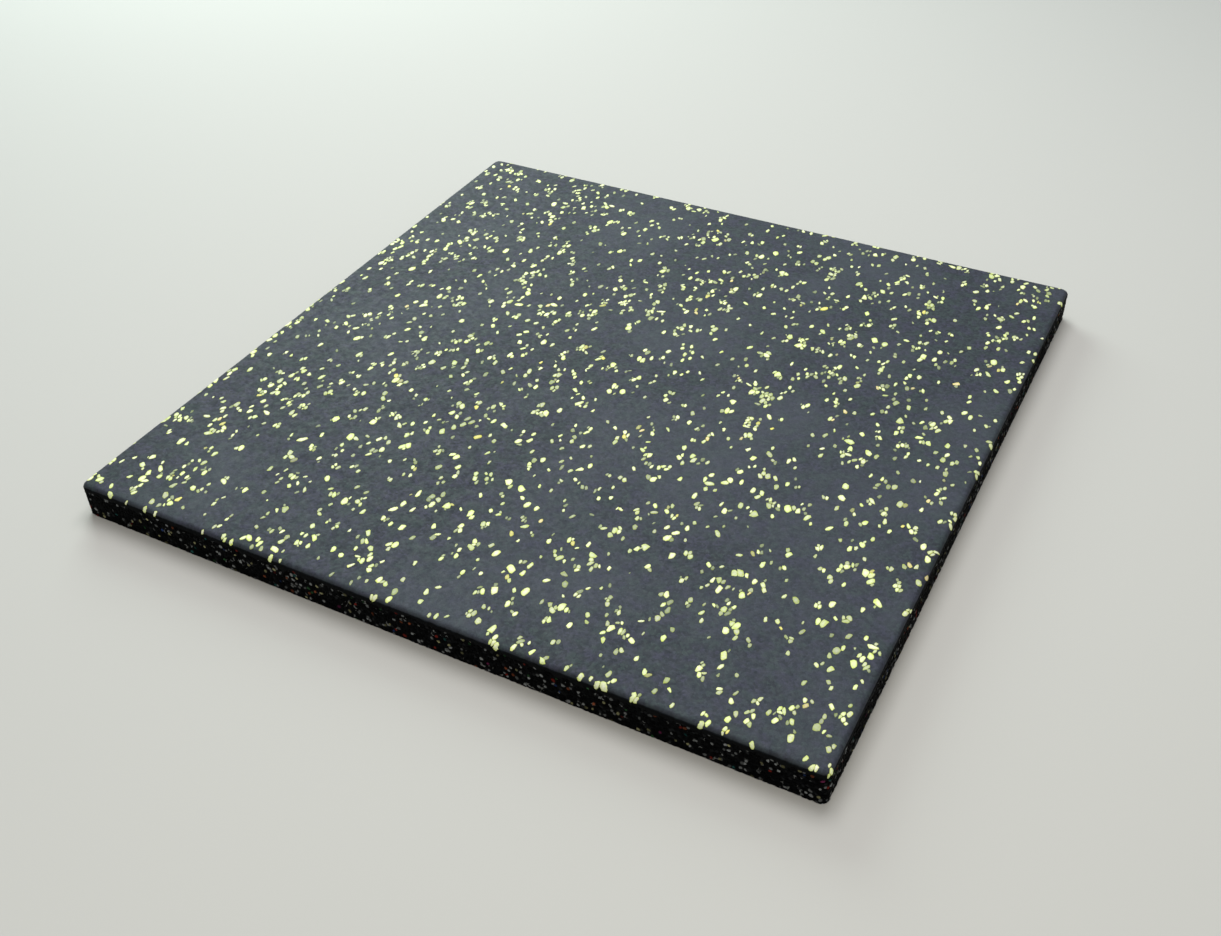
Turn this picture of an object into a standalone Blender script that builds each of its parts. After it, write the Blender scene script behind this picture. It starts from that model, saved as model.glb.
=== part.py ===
"""A square rubber floor mat: one slab pressed from rubber crumb, with a soft top rim.

Run it with blender --background --python part.py, or from Blender's text editor.
Metres, +Z up. The origin is the centre of the underside, which lies on the floor.
"""

import bmesh
import bpy

# Driving dimensions of the pressed slab
SIDE = 0.500
THICKNESS = 0.025
CORNER_RADIUS = 0.005  # the four upright corners, seen from above
TOP_RIM_RADIUS = 0.003  # where the top face turns down into the walls
FLOOR_RIM_RADIUS = 0.001  # where the walls meet the underside

# Flat steps along each quarter round
CORNER_STEPS = 8
TOP_RIM_STEPS = 6
FLOOR_RIM_STEPS = 2

# Colour and gloss of the rubber that holds the granules
RUBBER_COLOUR = (0.075, 0.088, 0.094, 1.0)
RUBBER_ROUGHNESS = 0.85
RUBBER_METALLIC = 0.0

# How far an edge's ends may lie from a height and still count as on it
LEVEL_TOLERANCE = 0.00001


def clear_scene():
    """Removes every object, so that the mat stands alone."""
    for obj in list(bpy.data.objects):
        bpy.data.objects.remove(obj)


def rubber():
    """Dull slate-grey rubber."""
    material = bpy.data.materials.new("rubber")
    material.use_nodes = True
    shader = material.node_tree.nodes["Principled BSDF"]
    shader.inputs["Base Color"].default_value = RUBBER_COLOUR
    shader.inputs["Roughness"].default_value = RUBBER_ROUGHNESS
    shader.inputs["Metallic"].default_value = RUBBER_METALLIC
    return material


def upright_edges(bm):
    """The edges that run from the underside to the top face."""
    return [e for e in bm.edges if abs(e.verts[0].co.z - e.verts[1].co.z) > LEVEL_TOLERANCE]


def edges_at(bm, height):
    """The edges that lie flat at this height."""
    return [e for e in bm.edges if all(abs(v.co.z - height) < LEVEL_TOLERANCE for v in e.verts)]


def round_over(bm, edges, radius, steps):
    """Turns these edges into a quarter round of this radius."""
    bmesh.ops.bevel(
        bm,
        geom=edges,
        offset=radius,
        offset_type="OFFSET",
        segments=steps,
        profile=0.5,
        affect="EDGES",
        clamp_overlap=False,
    )


def slab_mesh():
    """A square block, with its upright corners rounded first and its two rims after them."""
    bm = bmesh.new()
    bmesh.ops.create_cube(bm, size=1.0)
    bmesh.ops.scale(bm, vec=(SIDE, SIDE, THICKNESS), verts=bm.verts)
    bmesh.ops.translate(bm, vec=(0.0, 0.0, THICKNESS / 2), verts=bm.verts)
    round_over(bm, upright_edges(bm), CORNER_RADIUS, CORNER_STEPS)
    round_over(bm, edges_at(bm, THICKNESS), TOP_RIM_RADIUS, TOP_RIM_STEPS)
    round_over(bm, edges_at(bm, 0.0), FLOOR_RIM_RADIUS, FLOOR_RIM_STEPS)
    mesh = bpy.data.meshes.new("mat")
    bm.to_mesh(mesh)
    bm.free()
    return mesh


def make_mat():
    """The mat as one object. Weighted normals keep its flat faces flat beside the smooth rounds."""
    mesh = slab_mesh()
    mesh.materials.append(rubber())
    mesh.shade_smooth()
    mat = bpy.data.objects.new("mat", mesh)
    bpy.context.scene.collection.objects.link(mat)
    mat.modifiers.new("flat_faces_stay_flat", "WEIGHTED_NORMAL")


clear_scene()
make_mat()
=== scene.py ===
# %% [markdown]
# # A speckled rubber floor mat
#
# The real mat is one slab pressed from rubber crumb and binder. Its top face is fine dark rubber with pale
# yellow-green granules in it, and its walls show the coarse crumb of the base. This lesson builds that look
# around a plain CAD slab, which gives every size. Nothing here moves or resizes the slab.

# %% Load the CAD slab
import math

import bpy
import numpy as np
from mathutils import Matrix, Vector


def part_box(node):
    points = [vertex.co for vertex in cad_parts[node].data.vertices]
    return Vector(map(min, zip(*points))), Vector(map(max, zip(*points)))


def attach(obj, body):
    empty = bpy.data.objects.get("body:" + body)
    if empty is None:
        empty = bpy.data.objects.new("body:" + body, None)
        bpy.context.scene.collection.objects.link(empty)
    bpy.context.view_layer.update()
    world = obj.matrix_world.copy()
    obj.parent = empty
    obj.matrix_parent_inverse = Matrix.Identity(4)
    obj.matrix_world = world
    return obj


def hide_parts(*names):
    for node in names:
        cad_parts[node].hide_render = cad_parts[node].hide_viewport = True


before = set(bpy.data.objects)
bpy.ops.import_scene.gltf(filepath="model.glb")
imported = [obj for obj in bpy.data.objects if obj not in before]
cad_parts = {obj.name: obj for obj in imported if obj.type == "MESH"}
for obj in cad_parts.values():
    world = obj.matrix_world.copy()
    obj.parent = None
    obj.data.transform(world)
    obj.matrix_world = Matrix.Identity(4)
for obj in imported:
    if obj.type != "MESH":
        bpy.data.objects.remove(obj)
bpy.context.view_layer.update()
top_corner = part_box("mat")[1]
HALF_SIDE = top_corner.x
THICKNESS = top_corner.z
print("slab", 2 * HALF_SIDE, "m square and", THICKNESS, "m thick")

# %% [markdown]
# ## The slab's rounding
#
# The rounded edges are the same as the CAD slab's. Everything below is laid on this skin, so it is
# described once, as two small functions: one goes down over the edge, and one goes around the outline.

# %% Sizes of the rounded edges
MM = 0.001
CORNER_RADIUS = 5 * MM
TOP_RIM_RADIUS = 3 * MM
FLOOR_RIM_RADIUS = 1 * MM
TOP_RIM_ARC = TOP_RIM_RADIUS * math.pi / 2
FLOOR_RIM_ARC = FLOOR_RIM_RADIUS * math.pi / 2
WALL_HEIGHT = THICKNESS - TOP_RIM_RADIUS - FLOOR_RIM_RADIUS
WALL_END = TOP_RIM_ARC + WALL_HEIGHT
SKIN_END = WALL_END + FLOOR_RIM_ARC
print("from the top face to the underside, down over the edge:", round(SKIN_END / MM, 2), "mm")


def down_the_edge(distance):
    """Where a walk over the edge has got to, from how far it has gone since it left the flat top.

    The walk is a quarter round, a straight wall and a small quarter round. Before it starts it is still on
    the top face, and after its end it is on the underside. Returns how far in from the wall it is, its
    height, and how far the skin there is tilted from facing up.
    """
    rim_angle = np.clip(distance, 0, TOP_RIM_ARC) / TOP_RIM_RADIUS
    down_wall = np.clip(distance - TOP_RIM_ARC, 0, WALL_HEIGHT)
    floor_angle = np.clip(distance - WALL_END, 0, FLOOR_RIM_ARC) / FLOOR_RIM_RADIUS
    inset = TOP_RIM_RADIUS * (1 - np.sin(rim_angle)) + FLOOR_RIM_RADIUS * (1 - np.cos(floor_angle))
    inset = inset + np.maximum(-distance, 0) + np.maximum(distance - SKIN_END, 0)
    height = THICKNESS - TOP_RIM_RADIUS * (1 - np.cos(rim_angle)) - down_wall
    height = height - FLOOR_RIM_RADIUS * np.sin(floor_angle)
    return inset, height, rim_angle + floor_angle


def around_the_outline(share, inset):
    """A point on the rounded square that lies this far inside the walls.

    share runs from 0 to 1 once around, from the middle of the +X side, anticlockwise. A quarter of the way
    is half a side, a corner arc and half a side, and the four quarters are the same one, turned. Returns
    the point's x and y, and the x and y of the direction that faces out there.
    """
    half = HALF_SIDE - inset
    radius = np.maximum(CORNER_RADIUS - inset, 0)
    straight = half - radius
    arc = radius * math.pi / 2
    quarter = np.floor(share * 4)
    along = (share * 4 - quarter) * (2 * straight + arc)
    angle = np.clip((along - straight) / np.maximum(radius, 1e-9), 0, math.pi / 2)
    x = straight + radius * np.cos(angle) - np.maximum(along - straight - arc, 0)
    y = np.minimum(along, straight) + radius * np.sin(angle)
    turn = quarter * math.pi / 2
    return (
        x * np.cos(turn) - y * np.sin(turn),
        x * np.sin(turn) + y * np.cos(turn),
        np.cos(angle + turn),
        np.sin(angle + turn),
    )


def on_skin(share, distance, lift):
    """Points on the slab's skin, moved out by lift along the way that the skin faces there."""
    inset, height, tilt = down_the_edge(distance)
    x, y, facing_x, facing_y = around_the_outline(share, inset)
    out = lift * np.sin(tilt)
    return np.stack([x + facing_x * out, y + facing_y * out, height + lift * np.cos(tilt)], axis=-1)


# %% [markdown]
# ## A sheet draped over the top
#
# The pale granules lie on the top face, and some of them bend over its rim. They are laid out on a flat
# sheet as wide as the mat, and this function drapes the sheet: inside the rim it lies flat, and what hangs
# past the rim goes down over the edge by as much as it stood out.

# %% The draping function


def drape(x, y, lift):
    """Points of a flat sheet laid over the top face and down the walls.

    A point's distance past the flat part is that of a rounded square: the length of the part of it that
    lies past the inner square, less the corner's radius. That distance then walks down over the edge.
    """
    flat_half = HALF_SIDE - CORNER_RADIUS
    flat_radius = CORNER_RADIUS - TOP_RIM_RADIUS
    past_x = np.maximum(np.abs(x) - flat_half, 0)
    past_y = np.maximum(np.abs(y) - flat_half, 0)
    past = np.hypot(past_x, past_y)
    distance = np.maximum(past - flat_radius, 0)
    facing_x = np.sign(x) * past_x / np.maximum(past, 1e-9)
    facing_y = np.sign(y) * past_y / np.maximum(past, 1e-9)
    inset, height, tilt = down_the_edge(distance)
    out = np.where(distance > 0, TOP_RIM_RADIUS - inset + lift * np.sin(tilt) - distance, 0)
    return np.stack([x + facing_x * out, y + facing_y * out, height + lift * np.cos(tilt)], axis=-1)


# %% [markdown]
# ## Unevenness
#
# No pressed rubber is perfectly flat. A Displace modifier with a texture could roughen it, but then the
# same unevenness couldn't place granules. A sum of waves in random directions can do both, and a fixed
# seed makes it the same on every run.

# %% A sum of waves
WAVES = 24


def unevenness(points, length, seed):
    """Random swells of about this length: the sum of WAVES cosines in random directions, near -1 to 1."""
    rng = np.random.default_rng(seed)
    ways = rng.normal(size=(points.shape[-1], WAVES))
    ways = ways / np.linalg.norm(ways, axis=0) * (2 * math.pi / length) * rng.uniform(0.6, 1.4, WAVES)
    return np.cos(points @ ways + rng.uniform(0, 2 * math.pi, WAVES)).sum(axis=-1) / math.sqrt(WAVES)


def smooth_step(value, start, end):
    """0 before start, 1 after end, and a smooth S between them."""
    share = np.clip((value - start) / (end - start), 0, 1)
    return share * share * (3 - 2 * share)


# %% [markdown]
# ## From arrays to a mesh
#
# Blender can take a mesh as Python lists, but whole arrays are much faster. Faces with the same number of
# corners come as one array, and several such arrays can share a mesh. Each array can have its own finish,
# which is the number of the material that its faces take.

# %% Mesh helper


def make_piece(name, points, face_groups, finishes, smooth):
    """A mesh object from an array of points and arrays of faces, each with one column for each corner."""
    mesh = bpy.data.meshes.new(name)
    corners = np.concatenate([faces.ravel() for faces in face_groups]).astype(np.int32)
    sizes = np.concatenate([np.full(len(faces), faces.shape[1]) for faces in face_groups])
    mesh.vertices.add(len(points))
    mesh.vertices.foreach_set("co", points.astype(np.float32).ravel())
    mesh.loops.add(len(corners))
    mesh.loops.foreach_set("vertex_index", corners)
    mesh.polygons.add(len(sizes))
    mesh.polygons.foreach_set("loop_start", (np.cumsum(sizes) - sizes).astype(np.int32))
    mesh.polygons.foreach_set("use_smooth", np.full(len(sizes), smooth))
    finish = np.repeat(finishes, [len(faces) for faces in face_groups])
    mesh.polygons.foreach_set("material_index", finish.astype(np.int32))
    mesh.update(calc_edges=True)
    mesh.validate()
    piece = bpy.data.objects.new(name, mesh)
    bpy.context.scene.collection.objects.link(piece)
    print(name, "has", len(points), "points and", int((sizes - 2).sum()), "triangles")
    return piece


# %% [markdown]
# ## The rubber body
#
# The body stands for the CAD slab, so it has to be one closed skin. A sphere-like grid would bunch up at
# its poles. Here rings follow the outline down over the edge, and square grids fill the top and the
# underside. The underside is hidden, so two rows of five-sided faces halve the ring's points before its
# grid begins.

# %% Rings and grids of the body
TOP_CELLS = 240
RING_POINTS = 4 * TOP_CELLS
FLAT_MARGIN = CORNER_RADIUS - TOP_RIM_RADIUS
RIM_STEPS = 6
WALL_STEPS = 14
FLOOR_STEPS = 3
HALVINGS = (10 * MM, 20 * MM)
ring_distances = np.concatenate([
    [-FLAT_MARGIN, -FLAT_MARGIN / 2],
    np.linspace(0, TOP_RIM_ARC, RIM_STEPS + 1),
    np.linspace(TOP_RIM_ARC, WALL_END, WALL_STEPS + 1)[1:],
    np.linspace(WALL_END, SKIN_END, FLOOR_STEPS + 1)[1:],
    [SKIN_END + CORNER_RADIUS - FLOOR_RIM_RADIUS],
])


def ring_shares(count):
    """Even shares of the way around, starting at the middle of a side."""
    return np.arange(count) / count


def square_grid(half, cells, height):
    """The points of a square grid, as an array of x rows and y columns."""
    steps = np.linspace(-half, half, cells + 1)
    x, y = np.meshgrid(steps, steps, indexing="ij")
    return np.stack([x, y, np.full_like(x, height)], axis=-1)


def border_walk(cells):
    """The x and y numbers of the grid's border points, anticlockwise from the middle of the +X side."""
    up = np.arange(cells)
    still = np.full(cells, cells)
    x = np.concatenate([still, still - up, 0 * up, up])
    y = np.concatenate([up, still, still - up, 0 * up])
    return np.roll(x, -cells // 2), np.roll(y, -cells // 2)


def number_grid(border, cells, first):
    """Numbers for a grid's points: its border takes the ring's numbers, and the rest follow from first."""
    numbers = np.zeros((cells + 1, cells + 1), int)
    numbers[1:-1, 1:-1] = first + np.arange((cells - 1) ** 2).reshape(cells - 1, cells - 1)
    numbers[border_walk(cells)] = border
    return numbers


def grid_faces(numbers):
    """The four-sided faces of a grid of numbers, facing up where x and y run along rows and columns."""
    faces = np.stack([numbers[:-1, :-1], numbers[1:, :-1], numbers[1:, 1:], numbers[:-1, 1:]], axis=-1)
    return faces.reshape(-1, 4)


# %% [markdown]
# The press doesn't leave the top quite flat. It rises and falls a little over its whole width, and it sags
# towards the edges.

# %% Swells and sag of the pressed top
EDGE_SAG = 0.5 * MM
SAG_WIDTH = 9 * MM
SAG_DEPTH = 6 * MM
MOST_SAG_WIDTHS = 1.25
WIDE_SWELL, WIDE_SWELL_LENGTH = 0.04 * MM, 90 * MM
SMALL_SWELL, SMALL_SWELL_LENGTH = 0.02 * MM, 14 * MM


def settle(points):
    """The points of the upper part, let down as the press leaves them: slow swells, and a sag at the edges.

    The sag grows with the square of how far a point is into the outer SAG_WIDTH, measured to a rounded
    square so that the corners have no crease. Both fade out over the uppermost SAG_DEPTH of the walls.
    """
    plan = points[..., :2]
    past = np.maximum(np.abs(plan) - (HALF_SIDE - SAG_WIDTH), 0) / SAG_WIDTH
    sag = EDGE_SAG * np.minimum(np.hypot(past[..., 0], past[..., 1]), MOST_SAG_WIDTHS) ** 2
    wide = WIDE_SWELL * unevenness(plan, WIDE_SWELL_LENGTH, 1)
    swell = wide + SMALL_SWELL * unevenness(plan, SMALL_SWELL_LENGTH, 2)
    near_top = smooth_step(points[..., 2], THICKNESS - SAG_DEPTH, THICKNESS - EDGE_SAG)
    moved = points.copy()
    moved[..., 2] += (swell - sag) * near_top
    return moved


# %% [markdown]
# The wall is left a little short of the CAD skin where the coarse crumb is, so that the crumb laid on it
# later ends at the real size, with dark gaps between its grains. The edge of that band wanders.

# %% The body's skin
CRUMB_TOP = 20.6 * MM
CRUMB_FADE = 2 * MM
CRUMB_WANDER, CRUMB_WANDER_LENGTH = 0.9 * MM, 9 * MM
CRUMB_RECESS = 0.5 * MM
UNDERSIDE_RECESS = 0.12 * MM
TOP_FINISH, WALL_FINISH = 0, 1
TOP_FINISH_SHARE = 0.6


def wall_recess(share, distance):
    """How far the body's skin is set back behind the crumb, which is 0 at the smooth upper band."""
    inset, height, tilt = down_the_edge(distance)
    across = np.stack([np.cos(2 * math.pi * share), np.sin(2 * math.pi * share)], axis=-1) * HALF_SIDE
    edge = CRUMB_TOP + CRUMB_WANDER * unevenness(across, CRUMB_WANDER_LENGTH, 3)
    recess = CRUMB_RECESS * (1 - smooth_step(height, edge - CRUMB_FADE, edge))
    under = smooth_step(distance, WALL_END, SKIN_END)
    return recess * (1 - under) + UNDERSIDE_RECESS * under


def make_body():
    """The rings first, then the two grids and the halved rings under the mat, all as one closed mesh."""
    share, distance = np.meshgrid(ring_shares(RING_POINTS), ring_distances)
    rings = settle(on_skin(share, distance, -wall_recess(share, distance)))
    numbers = np.arange(rings[..., 0].size).reshape(share.shape)
    points = [rings.reshape(-1, 3)]
    beside = np.roll(numbers, -1, axis=1)
    sides = np.stack([numbers[:-1], numbers[1:], beside[1:], beside[:-1]], axis=-1)
    rim_rows = int(np.searchsorted(ring_distances, TOP_RIM_ARC * TOP_FINISH_SHARE))
    face_groups = [sides[:rim_rows].reshape(-1, 4), sides[rim_rows:].reshape(-1, 4)]
    finishes = [TOP_FINISH, WALL_FINISH]
    used = numbers.size

    top = settle(square_grid(HALF_SIDE - CORNER_RADIUS, TOP_CELLS, THICKNESS))
    face_groups.append(grid_faces(number_grid(numbers[0], TOP_CELLS, used)))
    finishes.append(TOP_FINISH)
    points.append(top[1:-1, 1:-1].reshape(-1, 3))
    used += (TOP_CELLS - 1) ** 2

    outer, count = numbers[-1], RING_POINTS
    for inset in HALVINGS:
        count = count // 2
        x, y, facing_x, facing_y = around_the_outline(ring_shares(count), np.full(count, inset))
        points.append(np.stack([x, y, np.full(count, UNDERSIDE_RECESS)], axis=-1))
        inner = used + np.arange(count)
        used += count
        fine = [outer[0::2], outer[1::2], np.roll(outer, -2)[0::2]]
        face_groups.append(np.stack([inner, np.roll(inner, -1), fine[2], fine[1], fine[0]], axis=-1))
        finishes.append(WALL_FINISH)
        outer = inner
    cells = count // 4
    under = square_grid(HALF_SIDE - HALVINGS[-1], cells, UNDERSIDE_RECESS)
    face_groups.append(grid_faces(number_grid(outer, cells, used))[:, ::-1])
    finishes.append(WALL_FINISH)
    points.append(under[1:-1, 1:-1].reshape(-1, 3))
    return make_piece("rubber_body", np.concatenate(points), face_groups, finishes, True)


rubber_body = make_body()

# %% [markdown]
# ## The shape of a grain
#
# Rubber granules are cut from sheet, so they are angular chips and not balls. A chip seen from above is
# made here as a real cutter makes it: a few straight cuts around an oval. Where two chips touch in the
# press, they share a straight border, which is one more cut. So one rule gives loose chips and packed
# crumb.

# %% Outlines by straight cuts
CUTS = 6
LEAST_COSINE = 0.1
CUT_JITTER = 0.35
LEAST_CUT = 0.82


def reach_to_cuts(ways, cut_ways, cut_distances):
    """How far a chip reaches in each of its ways before a straight cut stops it.

    Along a way, a cut lies at the cut's own distance divided by the cosine of the angle between them. The
    nearest cut counts. ways has a row for each chip, and so have cut_ways and cut_distances.
    """
    cosine = np.cos(ways[:, :, None] - cut_ways[:, None, :])
    reach = cut_distances[:, None, :] / np.maximum(cosine, LEAST_COSINE)
    return np.where(cosine > LEAST_COSINE, reach, np.inf).min(axis=-1)


def oval_ways(length, width, turn, corners):
    """The directions of a chip's outline points, closer together towards the ends of a long chip."""
    around = np.arange(corners) * 2 * math.pi / corners
    along = length[:, None] * np.cos(around)
    across = width[:, None] * np.sin(around)
    return np.arctan2(across, along) + turn[:, None]


def cut_chips(rng, length, width, turn, ways):
    """The reach of random chips: CUTS straight cuts that touch an oval or take a little off it."""
    count = len(length)
    cut_turn = (np.arange(CUTS) + rng.uniform(-CUT_JITTER, CUT_JITTER, (count, CUTS))) * 2 * math.pi / CUTS
    cut_turn = cut_turn + rng.uniform(0, 2 * math.pi, (count, 1))
    oval = np.hypot(length[:, None] / 2 * np.cos(cut_turn), width[:, None] / 2 * np.sin(cut_turn))
    return reach_to_cuts(ways, cut_turn + turn[:, None], oval * rng.uniform(LEAST_CUT, 1.0, (count, CUTS)))


def borders(offsets, share, gap):
    """The cuts between touching chips: square to the line between them, at this chip's share of it."""
    distance = np.linalg.norm(offsets, axis=-1)
    return np.arctan2(offsets[..., 1], offsets[..., 0]), distance * share - gap / 2


# %% [markdown]
# ## Many grains in one mesh
#
# Thousands of separate objects would be slow, so all the grains of one kind are one mesh. Every grain has
# the same few rings: one buried in the rubber, one or two rising out of it, and a middle point on top. Two
# attributes go with the points: the grain's own colour, and how near its border a point is.

# %% Grains from rings


def make_grains(name, centres, reach, ways, rings, top_lift, colours, place):
    """One mesh of closed grains. rings are (scale, lift, border) from the buried one up.

    A ring's points lie at scale times the reach along each way from the grain's centre, on a flat sheet,
    and place(x, y, lift) puts the sheet where it belongs. lift has a number for each point of the ring.
    """
    count, corners = reach.shape
    x_parts, y_parts, lift_parts, border_parts = [], [], [], []
    for scale, lift, border in rings:
        x_parts.append(centres[:, :1] + scale * reach * np.cos(ways))
        y_parts.append(centres[:, 1:] + scale * reach * np.sin(ways))
        lift_parts.append(np.broadcast_to(lift, (count, corners)))
        border_parts.append(np.full((count, corners), border))
    x_parts.append(centres[:, :1])
    y_parts.append(centres[:, 1:])
    lift_parts.append(top_lift[:, None])
    border_parts.append(np.zeros((count, 1)))
    points = place(np.hstack(x_parts), np.hstack(y_parts), np.hstack(lift_parts))

    each = len(rings) * corners + 1
    first = np.arange(count)[:, None] * each
    corner = np.arange(corners)
    beside = (corner + 1) % corners
    bottom = first + corner[::-1]
    bands = []
    for ring in range(len(rings) - 1):
        lower = ring * corners
        upper = lower + corners
        band = np.stack([lower + corner, lower + beside, upper + beside, upper + corner], axis=-1)
        bands.append((first[:, :, None] + band).reshape(-1, 4))
    upper = (len(rings) - 1) * corners
    fan = np.stack([upper + corner, upper + beside, np.full(corners, each - 1)], axis=-1)
    face_groups = [bottom, *bands, (first[:, :, None] + fan).reshape(-1, 3)]
    piece = make_piece(name, points.reshape(-1, 3), face_groups, [0] * len(face_groups), False)
    tint = piece.data.attributes.new("grain_colour", "FLOAT_COLOR", "POINT")
    with_alpha = np.hstack([np.repeat(colours, each, axis=0), np.ones((count * each, 1))])
    tint.data.foreach_set("color", with_alpha.astype(np.float32).ravel())
    border = piece.data.attributes.new("near_border", "FLOAT", "POINT")
    border.data.foreach_set("value", np.hstack(border_parts).astype(np.float32).ravel())
    return piece


# %% [markdown]
# ## The pale granules
#
# On the real mat the granules are strewn before pressing, so they lie in loose swarms with bare patches of
# two or three centimetres, and many touch in small clumps. Most of them are longish and lie nearly the same
# way. Scattering points evenly at random looks too regular. Here swarms start where a slow unevenness is
# high, and each granule may bring a touching one. The third of a clump turns back, so that it touches the
# first as well. Else the clumps would look like chains. A few more start in a band at the rim, to make up
# for those that would have reached it from past the sheet's end.

# %% Where the pale granules lie
GRANULE_CORNERS = 10
SWARM_STARTS = 2560
SWARM_STEPS = 3
SWARM_CHANCE = 0.22
TURN_BACK = (0.85, 1.3)
PRESSED_TOGETHER = 0.9
SHEET_HALF = HALF_SIDE - 0.3 * MM
RIM_BAND = 4 * MM
EVEN_CHANCE, RIM_CHANCE = 0.5, 0.2
WIDE_SWARMS, WIDE_SWARM_LENGTH = 0.14, 70 * MM
SMALL_SWARMS, SMALL_SWARM_LENGTH = 0.10, 25 * MM
TRIES_EACH = 4
MID_LENGTH = 5.0 * MM
LENGTH_SPREAD = 0.24
LEAST_LENGTH, MOST_LENGTH = 1.9 * MM, 8 * MM
LEAST_SLENDERNESS, MOST_SLENDERNESS = 1.7, 3.3
SLENDERNESS_SPREAD = 0.6
LAID_SHARE = 0.93
LAID_TURN = math.radians(97)
LAID_SPREAD = 0.34
LEAST_SPACING = 1.5 * MM
GRANULE_GAP = 0.04 * MM
NEIGHBOURS = 8
layout = np.random.default_rng(18)


def granule_shapes(count):
    """A row of length, width and turn for each granule. Most lie nearly along the mat's Y side."""
    length = MID_LENGTH * np.exp(layout.normal(0, LENGTH_SPREAD, count))
    length = np.clip(length, LEAST_LENGTH, MOST_LENGTH)
    slenderness = LEAST_SLENDERNESS + np.abs(layout.normal(0, SLENDERNESS_SPREAD, count))
    width = length / np.minimum(slenderness, MOST_SLENDERNESS)
    laid = layout.uniform(0, 1, count) < LAID_SHARE
    laid_turn = layout.normal(LAID_TURN, LAID_SPREAD, count)
    turn = np.where(laid, laid_turn, layout.uniform(0, math.pi, count))
    return np.stack([length, width, turn], axis=-1)


def oval_reach(shapes, way):
    """How far ovals reach from their middles along a way, which is the polar formula of an ellipse."""
    length, width, turn = shapes.T
    return length * width / 2 / np.hypot(width * np.cos(way - turn), length * np.sin(way - turn))


def strew(count):
    """count places on the sheet, more of them where the unevenness is high and in the band at the rim."""
    tries = layout.uniform(-SHEET_HALF, SHEET_HALF, (count * TRIES_EACH, 2))
    chance = EVEN_CHANCE + WIDE_SWARMS * unevenness(tries, WIDE_SWARM_LENGTH, 5)
    chance = chance + SMALL_SWARMS * unevenness(tries, SMALL_SWARM_LENGTH, 6)
    chance = chance + RIM_CHANCE * (np.abs(tries).max(axis=1) > HALF_SIDE - RIM_BAND)
    kept = tries[layout.uniform(0, 1, len(tries)) < chance]
    return kept[:count]


def swarm():
    """Places and shapes: the swarms' first granules, and SWARM_STEPS rounds of touching ones.

    Two touching granules are as far apart as both reach along the way between them, less a little.
    """
    places = strew(SWARM_STARTS)
    shapes = granule_shapes(len(places))
    way = layout.uniform(0, 2 * math.pi, len(places))
    rounds = [(places, shapes)]
    for step in range(SWARM_STEPS):
        goes_on = layout.uniform(0, 1, len(places)) < SWARM_CHANCE
        count = goes_on.sum()
        turn_back = layout.choice([-1, 1], count) * layout.uniform(*TURN_BACK, count)
        way = way[goes_on] + math.pi + turn_back
        next_shapes = granule_shapes(count)
        apart = PRESSED_TOGETHER * (oval_reach(shapes[goes_on], way) + oval_reach(next_shapes, way))
        places = places[goes_on] + apart[:, None] * np.stack([np.cos(way), np.sin(way)], axis=-1)
        shapes = next_shapes
        rounds.append((places, shapes))
    return [np.concatenate(parts) for parts in zip(*rounds)]


def distances(places):
    """How far each place is from each other one, with itself counted as out of reach."""
    apart = np.linalg.norm(places[:, None] - places[None], axis=-1)
    np.fill_diagonal(apart, np.inf)
    return apart


places, shapes = swarm()
inside = np.abs(places).max(axis=1) < SHEET_HALF
crowded = np.tril(distances(places) < LEAST_SPACING, -1).any(axis=1)
chosen = inside & ~crowded
places = places[chosen]
length, width, turn = shapes[chosen].T
print("pale granules:", len(places), "of mean length", round(float(length.mean()) / MM, 2), "mm")

# %% [markdown]
# Their colours are one family, from a yellow-green to a pale cream, as real stock from one batch is, and
# very few are a deeper yellow or pinkish. A grey film of binder covers some more than others. That is what
# makes them differ: the bare ones are bright, and the covered ones are dim, grey and look a little
# smaller. Those that lie over the rim are kept nearly bare, so they stay bright on the less lit rim: painted
# light.

# %% Colours of the pale granules
YELLOW_GREEN = (0.86, 0.94, 0.60)
PALE_CREAM = (0.94, 0.95, 0.84)
DEEP_YELLOW = (0.93, 0.83, 0.33)
PINKISH = (0.92, 0.76, 0.52)
FILM_GREY = (0.22, 0.255, 0.20)
COVERED_SCALE = 0.58
LIT_BARE_AT_RIM = 0.8
LEAST_BARE = 0.03
BARE_START, BARE_DROP, BARE_POWER = 1.1, 1.07, 1.3
KIND_SHARES = (0.975, 0.013, 0.012)
family = layout.uniform(0, 1, (len(places), 1))
family_colour = np.array(YELLOW_GREEN) * (1 - family) + np.array(PALE_CREAM) * family
kind = layout.choice(3, (len(places), 1), p=KIND_SHARES)
bare_colour = np.select([kind == 0, kind == 1], [family_colour, np.array(DEEP_YELLOW)], np.array(PINKISH))
bare = BARE_START - BARE_DROP * layout.uniform(0, 1, (len(places), 1)) ** BARE_POWER
bare = np.clip(bare, LEAST_BARE, 1)
# Painted highlight: granules over the rim are kept nearly bare, so they stay bright on the less lit rim.
rim_brightened = np.abs(places).max(axis=1, keepdims=True) > HALF_SIDE - TOP_RIM_RADIUS
bare = np.where(rim_brightened, np.maximum(bare, LIT_BARE_AT_RIM), bare)
colours = bare * bare_colour + (1 - bare) * np.array(FILM_GREY)
looks = COVERED_SCALE + (1 - COVERED_SCALE) * np.sqrt(bare[:, 0])
length = length * looks
width = width * looks

# %% Outlines of the pale granules
ways = oval_ways(length, width, turn, GRANULE_CORNERS)
apart = distances(places)
nearest = np.argpartition(apart, NEIGHBOURS, axis=1)[:, :NEIGHBOURS]
size = np.sqrt(length * width)
shares = size[:, None] / (size[:, None] + size[nearest])
reach = np.minimum(
    cut_chips(layout, length, width, turn, ways),
    reach_to_cuts(ways, *borders(places[nearest] - places[:, None], shares, GRANULE_GAP)),
)


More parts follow.
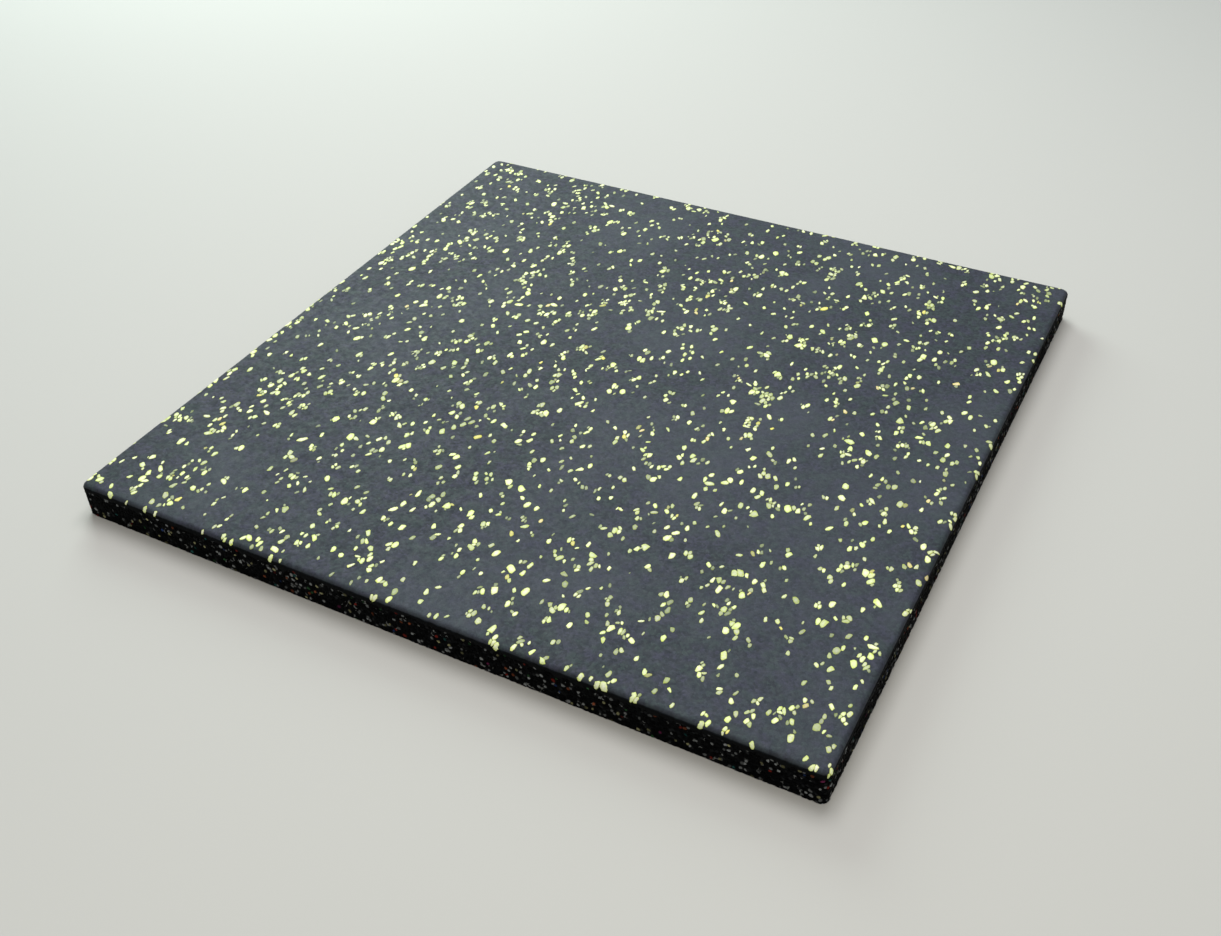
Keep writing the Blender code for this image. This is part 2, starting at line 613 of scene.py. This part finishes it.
# %% [markdown]
# Each granule is pressed in almost flush. One that lies over the rim has to bend with it, and the long flat
# triangles of its top would let the rubber poke through, so those few get one ring more. They are a mesh of
# their own, because on the flat part the extra ring would be wasted.

# %% The granules on the flat part and over the rim
BURIED = (0.93, -0.4 * MM, 1.0)
FLUSH = (1.0, 0.02 * MM, 1.0)
SHOULDER_SCALE, SHOULDER_BORDER = 0.82, 0.5
EXTRA_RING = (0.42, 0.25)
LEAST_PROUD, MOST_PROUD = 0.06 * MM, 0.16 * MM
DOME = 0.03 * MM
proud = layout.uniform(LEAST_PROUD, MOST_PROUD, (len(places), 1))
over_rim = np.abs(places).max(axis=1) + reach.max(axis=1) > HALF_SIDE - TOP_RIM_RADIUS


def on_top_sheet(x, y, lift):
    """The draped sheet, let down in the same way as the body under it."""
    return settle(drape(x, y, lift))


def some_granules(name, chosen, inner_rings):
    """The chosen granules as one mesh. inner_rings are (scale, border), from the shoulder inwards."""
    rings = [BURIED, FLUSH, (SHOULDER_SCALE, proud[chosen], SHOULDER_BORDER)]
    rings += [(scale, proud[chosen] + DOME / 2, border) for scale, border in inner_rings]
    middle = proud[chosen, 0] + DOME
    parts = (places[chosen], reach[chosen], ways[chosen])
    return make_grains(name, *parts, rings, middle, colours[chosen], on_top_sheet)


flat_granules = some_granules("flat_granules", ~over_rim, [])
rim_granules = some_granules("rim_granules", over_rim, [EXTRA_RING])

# %% [markdown]
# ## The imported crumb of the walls
#
# Below the soft rim and a narrow smooth band the walls show the base: coarse crumb of many scrap colours,
# pressed flat by the mould, with dark gaps between the grains. A bump map would look flat from the side, so
# every grain is real. The grains sit on a loose lattice wrapped around the mat, and each is cut off where
# its neighbours begin.

# %% Lattice of the crumb
CRUMB_CORNERS = 8
CRUMB_PITCH = 2.25 * MM
CRUMB_GAP = 0.16 * MM
LATTICE_JITTER = 0.42
PERIMETER = 4 * (2 * (HALF_SIDE - CORNER_RADIUS) + CORNER_RADIUS * math.pi / 2)
CRUMB_START = TOP_RIM_ARC + 1 * MM
crumb = np.random.default_rng(17)


def packed_lattice(columns, rows, pitch_x, pitch_y):
    """Jittered lattice points, with the offsets to each point's neighbours two lattice steps around."""
    column, row = np.meshgrid(np.arange(columns), np.arange(-2, rows + 2), indexing="ij")
    grid = np.stack([column * pitch_x, (row + 0.5) * pitch_y], axis=-1)
    grid = grid + crumb.uniform(-LATTICE_JITTER, LATTICE_JITTER, grid.shape) * np.array([pitch_x, pitch_y])
    offsets = []
    for right in range(-2, 3):
        for down in range(-2, 3):
            if (right, down) != (0, 0):
                step = np.roll(grid, -right, axis=0)[:, 2 + down:2 + down + rows] - grid[:, 2:2 + rows]
                wrapped = step[..., 0] - columns * pitch_x * np.round(step[..., 0] / (columns * pitch_x))
                offsets.append(np.stack([wrapped, step[..., 1]], axis=-1))
    neighbours = np.stack(offsets, axis=2).reshape(-1, len(offsets), 2)
    return grid[:, 2:2 + rows].reshape(-1, 2), neighbours


crumb_height = SKIN_END - CRUMB_START
columns = round(PERIMETER / CRUMB_PITCH)
rows = round(crumb_height / CRUMB_PITCH)
crumb_places, crumb_offsets = packed_lattice(columns, rows, PERIMETER / columns, crumb_height / rows)
crumb_places[:, 1] += CRUMB_START
print("wall crumb:", columns, "columns and", rows, "rows,", len(crumb_places), "grains")

# %% [markdown]
# Most of the crumb is black or dark grey scrap. About one grain in seven is another colour: mostly light
# grey, then cream, red and a few others. Every colour is set darker than the real scrap, which is painted
# shade for the walls, and the light grey grains stand partly for glints, a painted highlight. The grains
# stand unevenly, and each is tilted a little, so that they glint apart.

# %% Colours of the crumb
# Painted shade: all these scrap colours are set darker than real scrap, as the walls look in their shade.
SHADED_SCRAP_COLOURS = {
    "black": ((0.0022, 0.0025, 0.0028), 0.74),
    "dark_grey": ((0.013, 0.014, 0.015), 0.12),
    # Partly painted highlight: these light grey grains are real grey scrap and also stand for glints on the
    # crumb.
    "light_grey_and_glint": ((0.21, 0.22, 0.22), 0.085),
    "cream": ((0.27, 0.26, 0.14), 0.020),
    "red": ((0.16, 0.018, 0.012), 0.012),
    "orange": ((0.22, 0.065, 0.03), 0.005),
    "green": ((0.03, 0.09, 0.035), 0.006),
    "teal": ((0.02, 0.09, 0.085), 0.005),
    "blue": ((0.02, 0.04, 0.12), 0.004),
    "magenta": ((0.12, 0.018, 0.06), 0.002),
}
SCRAP_DARKEST, SCRAP_RANGE, SCRAP_POWER = 0.26, 0.8, 1.4


def shaded_scrap_colours(rng, count):
    """A colour for each of count grains, drawn by its share of the scrap, then made lighter or darker."""
    palette = np.array([colour for colour, share in SHADED_SCRAP_COLOURS.values()])
    share = np.array([share for colour, share in SHADED_SCRAP_COLOURS.values()])
    picked = rng.choice(len(palette), count, p=share / share.sum())
    return palette[picked] * (SCRAP_DARKEST + SCRAP_RANGE * rng.uniform(0, 1, (count, 1)) ** SCRAP_POWER)


def on_wall(x, y, lift):
    """The wall's sheet: x runs around the mat, and y down over the edge."""
    return settle(on_skin(x / PERIMETER, y, lift))


# %% Crumb on the four walls
LEAST_REACH_MM, MOST_REACH_MM = 0.9, 1.7
SUNK_SHARE, SUNK_STAND_MM = 0.12, -0.38
LEAST_STAND_MM = -0.24
MOST_SLOPE = 0.09
CRUMB_DOME = 0.03 * MM
CRUMB_BURIED = (0.97, -0.9 * MM, 1.0)
BEVEL_DEPTH, BEVEL_BORDER = 0.12 * MM, 0.8
FACE_SCALE = 0.82
crumb_count = len(crumb_places)
circle = np.arange(CRUMB_CORNERS) * 2 * math.pi / CRUMB_CORNERS
crumb_ways = circle + crumb.uniform(0, 2 * math.pi, (crumb_count, 1))
crumb_reach = reach_to_cuts(crumb_ways, *borders(crumb_offsets, 0.5, CRUMB_GAP))
most_reach = crumb.uniform(LEAST_REACH_MM, MOST_REACH_MM, (crumb_count, 1)) * MM
crumb_reach = np.minimum(crumb_reach, most_reach)
shaded_crumb_colours = shaded_scrap_colours(crumb, crumb_count)
sunk = crumb.uniform(0, 1, (crumb_count, 1)) < SUNK_SHARE
stand = np.where(sunk, SUNK_STAND_MM, crumb.uniform(LEAST_STAND_MM, 0.0, (crumb_count, 1))) * MM
slope_way = crumb.uniform(0, 2 * math.pi, (crumb_count, 1))
slope = crumb.uniform(0, MOST_SLOPE, (crumb_count, 1)) * crumb_reach * np.cos(crumb_ways - slope_way)
crumb_top = np.minimum(stand + slope, 0)
crumb_middle = np.minimum(stand[:, 0] + CRUMB_DOME, 0)
nearest_wall = np.floor((crumb_places[:, 0] / PERIMETER + 1 / 8) * 4).astype(int) % 4
crumb_walls = []
for number, wall in enumerate(("right", "back", "left", "front")):
    here = nearest_wall == number
    bevel = (1.0, crumb_top[here] - BEVEL_DEPTH, BEVEL_BORDER)
    wall_rings = [CRUMB_BURIED, bevel, (FACE_SCALE, crumb_top[here], 0.0)]
    crumb_walls.append(make_grains(
        "crumb_wall_" + wall, crumb_places[here], crumb_reach[here], crumb_ways[here], wall_rings,
        crumb_middle[here], shaded_crumb_colours[here], on_wall,
    ))

# %% [markdown]
# ## Materials
#
# Four rubbers are needed: the dark top, the darker walls behind their crumb, the pale granules and the
# crumb. All are rough and not metallic, so what tells them apart is colour, grain and how the colour breaks
# up. Every pattern reads Object coordinates, which are metres here, so a scale of 700 means a pattern of
# about 1.4 mm, and it stays put whichever way the mat is seen.

# %% Material helpers


def new_material(name, roughness, gloss):
    """A material and its Principled shader, with this roughness and gloss."""
    material = bpy.data.materials.new(name)
    material.use_nodes = True
    shader = material.node_tree.nodes["Principled BSDF"]
    shader.inputs["Roughness"].default_value = roughness
    shader.inputs["Specular IOR Level"].default_value = gloss
    return material, shader


def node_adder(tree):
    """A function that adds a node to this tree, with links or values for its inputs."""

    def add(kind, links=None, **settings):
        node = tree.nodes.new(kind)
        for key, value in settings.items():
            setattr(node, key, value)
        for socket, source in (links or {}).items():
            if isinstance(source, bpy.types.NodeSocket):
                tree.links.new(source, node.inputs[socket])
            else:
                node.inputs[socket].default_value = source
        return node

    return add


def noise(add, where, scale, detail):
    """The 0 to 1 strength of a noise of this scale."""
    return add("ShaderNodeTexNoise", {"Vector": where, "Scale": scale, "Detail": detail}).outputs["Fac"]


def ramp(add, value, low, high, to_low, to_high):
    """value from low to high turned into a number from to_low to to_high."""
    links = {"Value": value, "From Min": low, "From Max": high, "To Min": to_low, "To Max": to_high}
    return add("ShaderNodeMapRange", links).outputs["Result"]


def blend(add, share, first, second):
    """A colour that goes from first to second as share goes from 0 to 1."""
    return add("ShaderNodeMix", {0: share, 6: first, 7: second}, data_type="RGBA").outputs[2]


def brighten(add, colour, value):
    """The colour times a number."""
    return add("ShaderNodeVectorMath", {0: colour, "Scale": value}, operation="SCALE").outputs[0]


# %% [markdown]
# ### Dark rubber
#
# Close up the top is a fine mosaic of black and slate crumb under a film of binder, with a faint greyish
# bloom in cloudy patches. Cells give the mosaic, a slow noise the bloom, and two noises the fine grain.
# Over the rim the film ends, and the same rubber turns black down to the bed of the crumb. That black is
# partly the rubber's own and partly painted shade, as it is set darker than black rubber is. The underside
# has no crumb pieces, so a few grey specks stand for them there.

# %% Dark rubber material
SLATE_BLUE = (0.042, 0.044, 0.077, 1.0)
SLATE_GREEN = (0.034, 0.052, 0.056, 1.0)
SLATE_DARK = (0.0165, 0.0215, 0.032, 1.0)
BLOOM = (0.050, 0.060, 0.080, 1.0)
# Partly painted shade: the bed is set darker than black rubber, so the rim and walls look as dark as in
# shade.
SHADED_BED_BLACK = (0.004, 0.0045, 0.005, 1.0)
BED_GREY = (0.14, 0.145, 0.14, 1.0)
TOP_COLOUR_FROM, TOP_COLOUR_TO = 22.6 * MM, 25.0 * MM
TOP_COLOUR_POWER = 0.8


def dark_rubber(name, gloss, sheen):
    """Slate mosaic with bloom on top, turning to a black bed, partly painted shade, that has grey specks low
    down.

    With s going from 0 to 1 between the two heights, the share of the top's colour is s to the power
    TOP_COLOUR_POWER.
    """
    material, shader = new_material(name, 0.7, gloss)
    add = node_adder(material.node_tree)
    link = material.node_tree.links.new
    where = add("ShaderNodeTexCoord").outputs["Object"]
    cells = add("ShaderNodeTexVoronoi", {"Vector": where, "Scale": 620.0})
    cell_value = add("ShaderNodeSeparateColor", {0: cells.outputs["Color"]}).outputs[0]
    hue = ramp(add, noise(add, where, 110.0, 2.0), 0.4, 0.6, 0.0, 1.0)
    slate = blend(add, hue, SLATE_BLUE, SLATE_GREEN)
    mosaic = blend(add, cell_value, SLATE_DARK, slate)
    bloom = ramp(add, noise(add, where, 14.0, 4.0), 0.42, 0.68, 0.0, 0.55)
    film = blend(add, bloom, mosaic, BLOOM)
    top_colour = brighten(add, film, ramp(add, noise(add, where, 1400.0, 2.0), 0.3, 0.7, 0.78, 1.22))

    coarse = add("ShaderNodeTexVoronoi", {"Vector": where, "Scale": 400.0})
    coarse_value = add("ShaderNodeSeparateColor", {0: coarse.outputs["Color"]}).outputs[1]
    height = add("ShaderNodeSeparateXYZ", {0: where}).outputs["Z"]
    low_down = ramp(add, height, 19.0 * MM, 20.0 * MM, 1.0, 0.0)
    few = ramp(add, coarse_value, 0.93, 0.95, 0.0, 1.0)
    specks = add("ShaderNodeMath", {0: few, 1: low_down}, operation="MULTIPLY").outputs[0]
    shaded_bed = blend(add, specks, SHADED_BED_BLACK, BED_GREY)
    wander = ramp(add, noise(add, where, 220.0, 2.0), 0.3, 0.7, -0.3 * MM, 0.5 * MM)
    uneven_height = add("ShaderNodeMath", {0: height, 1: wander}, operation="ADD").outputs[0]
    # Over the rim the top colour gives way to the black bed: where the film ends, and partly painted shade.
    steady = ramp(add, uneven_height, TOP_COLOUR_FROM, TOP_COLOUR_TO, 0.0, 1.0)
    is_top = add("ShaderNodeMath", {0: steady, 1: TOP_COLOUR_POWER}, operation="POWER").outputs[0]
    link(blend(add, is_top, shaded_bed, top_colour), shader.inputs["Base Color"])

    link(ramp(add, noise(add, where, 300.0, 3.0), 0.3, 0.7, 0.62, 0.82), shader.inputs["Roughness"])
    pores = noise(add, where, 1800.0, 3.0)
    grain = add("ShaderNodeMath", {0: pores, 1: cells.outputs["Distance"]}, operation="SUBTRACT").outputs[0]
    bump = add("ShaderNodeBump", {"Height": grain, "Strength": 0.35, "Distance": 0.12 * MM})
    link(bump.outputs[0], shader.inputs["Normal"])
    shader.inputs["Sheen Weight"].default_value = sheen
    shader.inputs["Sheen Roughness"].default_value = 0.45
    return material


# %% [markdown]
# ### Coloured rubber
#
# A granule's colour is its own, kept in its attribute. The binder and dirt of the press tint it towards its
# border and in a few smears, and its cut face has a fine grain. The wall's crumb goes much darker towards
# its borders and in smears.

# %% Granule materials
PRESS_TINT = (0.70, 0.77, 0.08, 1.0)
CRUMB_TINT = (0.15, 0.15, 0.16, 1.0)


def grain_rubber(name, tint, tint_share, grain_scale, roughness_range, gloss):
    """Rubber that takes its colour from the grains, multiplied by the tint towards their borders."""
    material, shader = new_material(name, 0.6, gloss)
    add = node_adder(material.node_tree)
    link = material.node_tree.links.new
    where = add("ShaderNodeTexCoord").outputs["Object"]
    own = add("ShaderNodeAttribute", attribute_name="grain_colour").outputs["Color"]
    near = add("ShaderNodeAttribute", attribute_name="near_border").outputs["Fac"]
    mottled = brighten(add, own, ramp(add, noise(add, where, grain_scale, 3.0), 0.3, 0.7, 0.86, 1.08))
    smears = ramp(add, noise(add, where, grain_scale / 2, 2.0), 0.52, 0.75, 0.0, 0.6)
    uneven_near = add("ShaderNodeMath", {0: near, 1: smears}, operation="ADD", use_clamp=True).outputs[0]
    share = add("ShaderNodeMath", {0: uneven_near, 1: tint_share}, operation="MULTIPLY").outputs[0]
    tinted = add("ShaderNodeMix", {0: share, 6: mottled, 7: tint}, data_type="RGBA", blend_type="MULTIPLY")
    link(tinted.outputs[2], shader.inputs["Base Color"])
    lowest, highest = roughness_range
    rough = ramp(add, noise(add, where, 500.0, 2.0), 0.3, 0.7, lowest, highest)
    link(rough, shader.inputs["Roughness"])
    pores = noise(add, where, 2200.0, 3.0)
    bump = add("ShaderNodeBump", {"Height": pores, "Strength": 0.4, "Distance": 0.08 * MM})
    link(bump.outputs[0], shader.inputs["Normal"])
    return material


rubber_body.data.materials.append(dark_rubber("top_rubber", 0.28, 0.05))
rubber_body.data.materials.append(dark_rubber("wall_rubber", 0.02, 0.0))
granule_rubber = grain_rubber("pale_granule_rubber", PRESS_TINT, 0.85, 900.0, (0.5, 0.7), 0.3)
for granules in (flat_granules, rim_granules):
    granules.data.materials.append(granule_rubber)
crumb_rubber = grain_rubber("crumb_rubber", CRUMB_TINT, 0.9, 1100.0, (0.55, 0.8), 0.02)
for wall in crumb_walls:
    wall.data.materials.append(crumb_rubber)

# %% [markdown]
# ## Floor, light and camera
#
# The photograph's light comes from above and behind on the left, and the front walls are in shade. One
# large soft lamp above, a greenish one low behind on the left and a weak warm one in front give that on a
# pale floor. The camera is where the corners of the top face put it: it looks down at 39 degrees, turned 29
# degrees to the right, and leans a little.

# %% Floor
FLOOR_HALF = 20.0
floor_corners = np.array([(-1, -1, 0), (1, -1, 0), (1, 1, 0), (-1, 1, 0)]) * FLOOR_HALF
floor = make_piece("floor", floor_corners, [np.array([[0, 1, 2, 3]])], [0], False)
floor_material, floor_shader = new_material("pale_floor", 0.9, 0.2)
floor_shader.inputs["Base Color"].default_value = (0.53, 0.53, 0.52, 1.0)
floor.data.materials.append(floor_material)

# %% Lamps and sky


def aim(thing, place, back, lean):
    """Puts a lamp or camera at place, with its back towards back, and leans it around its line of sight."""
    right = Vector((0, 0, 1)).cross(back).normalized()
    up = back.cross(right)
    leaning_right = math.cos(lean) * right + math.sin(lean) * up
    leaning_up = math.cos(lean) * up - math.sin(lean) * right
    turned = Matrix((leaning_right, leaning_up, back)).transposed().to_4x4()
    thing.matrix_world = Matrix.Translation(place) @ turned


def soft_lamp(name, place, size, watts, colour):
    """A square lamp that faces the mat."""
    data = bpy.data.lights.new(name, "AREA")
    data.size = size
    data.energy = watts
    data.color = colour
    lamp = bpy.data.objects.new(name, data)
    bpy.context.scene.collection.objects.link(lamp)
    aim(lamp, Vector(place), Vector(place).normalized(), 0.0)


soft_lamp("overhead_lamp", (-0.15, 0.4, 1.7), 1.0, 19.5, (1.0, 0.99, 0.96))
soft_lamp("back_left_lamp", (-1.25, 1.15, 0.85), 1.0, 23.5, (0.86, 1.0, 0.92))
soft_lamp("front_lamp", (0.5, -0.9, 1.4), 0.7, 9.0, (1.0, 0.92, 0.76))
world = bpy.data.worlds.new("soft_sky")
world.use_nodes = True
world.node_tree.nodes["Background"].inputs["Color"].default_value = (0.9, 0.94, 1.0, 1.0)
world.node_tree.nodes["Background"].inputs["Strength"].default_value = 0.285
bpy.context.scene.world = world
bpy.context.scene.view_settings.view_transform = "Standard"

# %% Camera
CAMERA_AZIMUTH = math.radians(28.95)
CAMERA_ELEVATION = math.radians(39.2)
CAMERA_LEAN = math.radians(-1.63)
CAMERA_PLACE = (0.3557, -0.6537, 0.5526)
PHOTO_WIDTH = 1221
FOCAL_PIXELS = 1327.6
camera_data = bpy.data.cameras.new("photo_camera")
camera_data.sensor_fit = "HORIZONTAL"
camera_data.lens = FOCAL_PIXELS / PHOTO_WIDTH * camera_data.sensor_width
camera_data.clip_start = 0.01
camera = bpy.data.objects.new("photo_camera", camera_data)
bpy.context.scene.collection.objects.link(camera)
camera_back = Vector((
    math.sin(CAMERA_AZIMUTH) * math.cos(CAMERA_ELEVATION),
    -math.cos(CAMERA_AZIMUTH) * math.cos(CAMERA_ELEVATION),
    math.sin(CAMERA_ELEVATION),
))
aim(camera, Vector(CAMERA_PLACE), camera_back, CAMERA_LEAN)
bpy.context.scene.camera = camera
print("camera lens", round(camera_data.lens, 2), "mm")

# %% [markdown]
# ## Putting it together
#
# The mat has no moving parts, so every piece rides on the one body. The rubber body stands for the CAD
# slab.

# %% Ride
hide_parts("mat")
for piece in (rubber_body, flat_granules, rim_granules, *crumb_walls):
    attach(piece, "root")
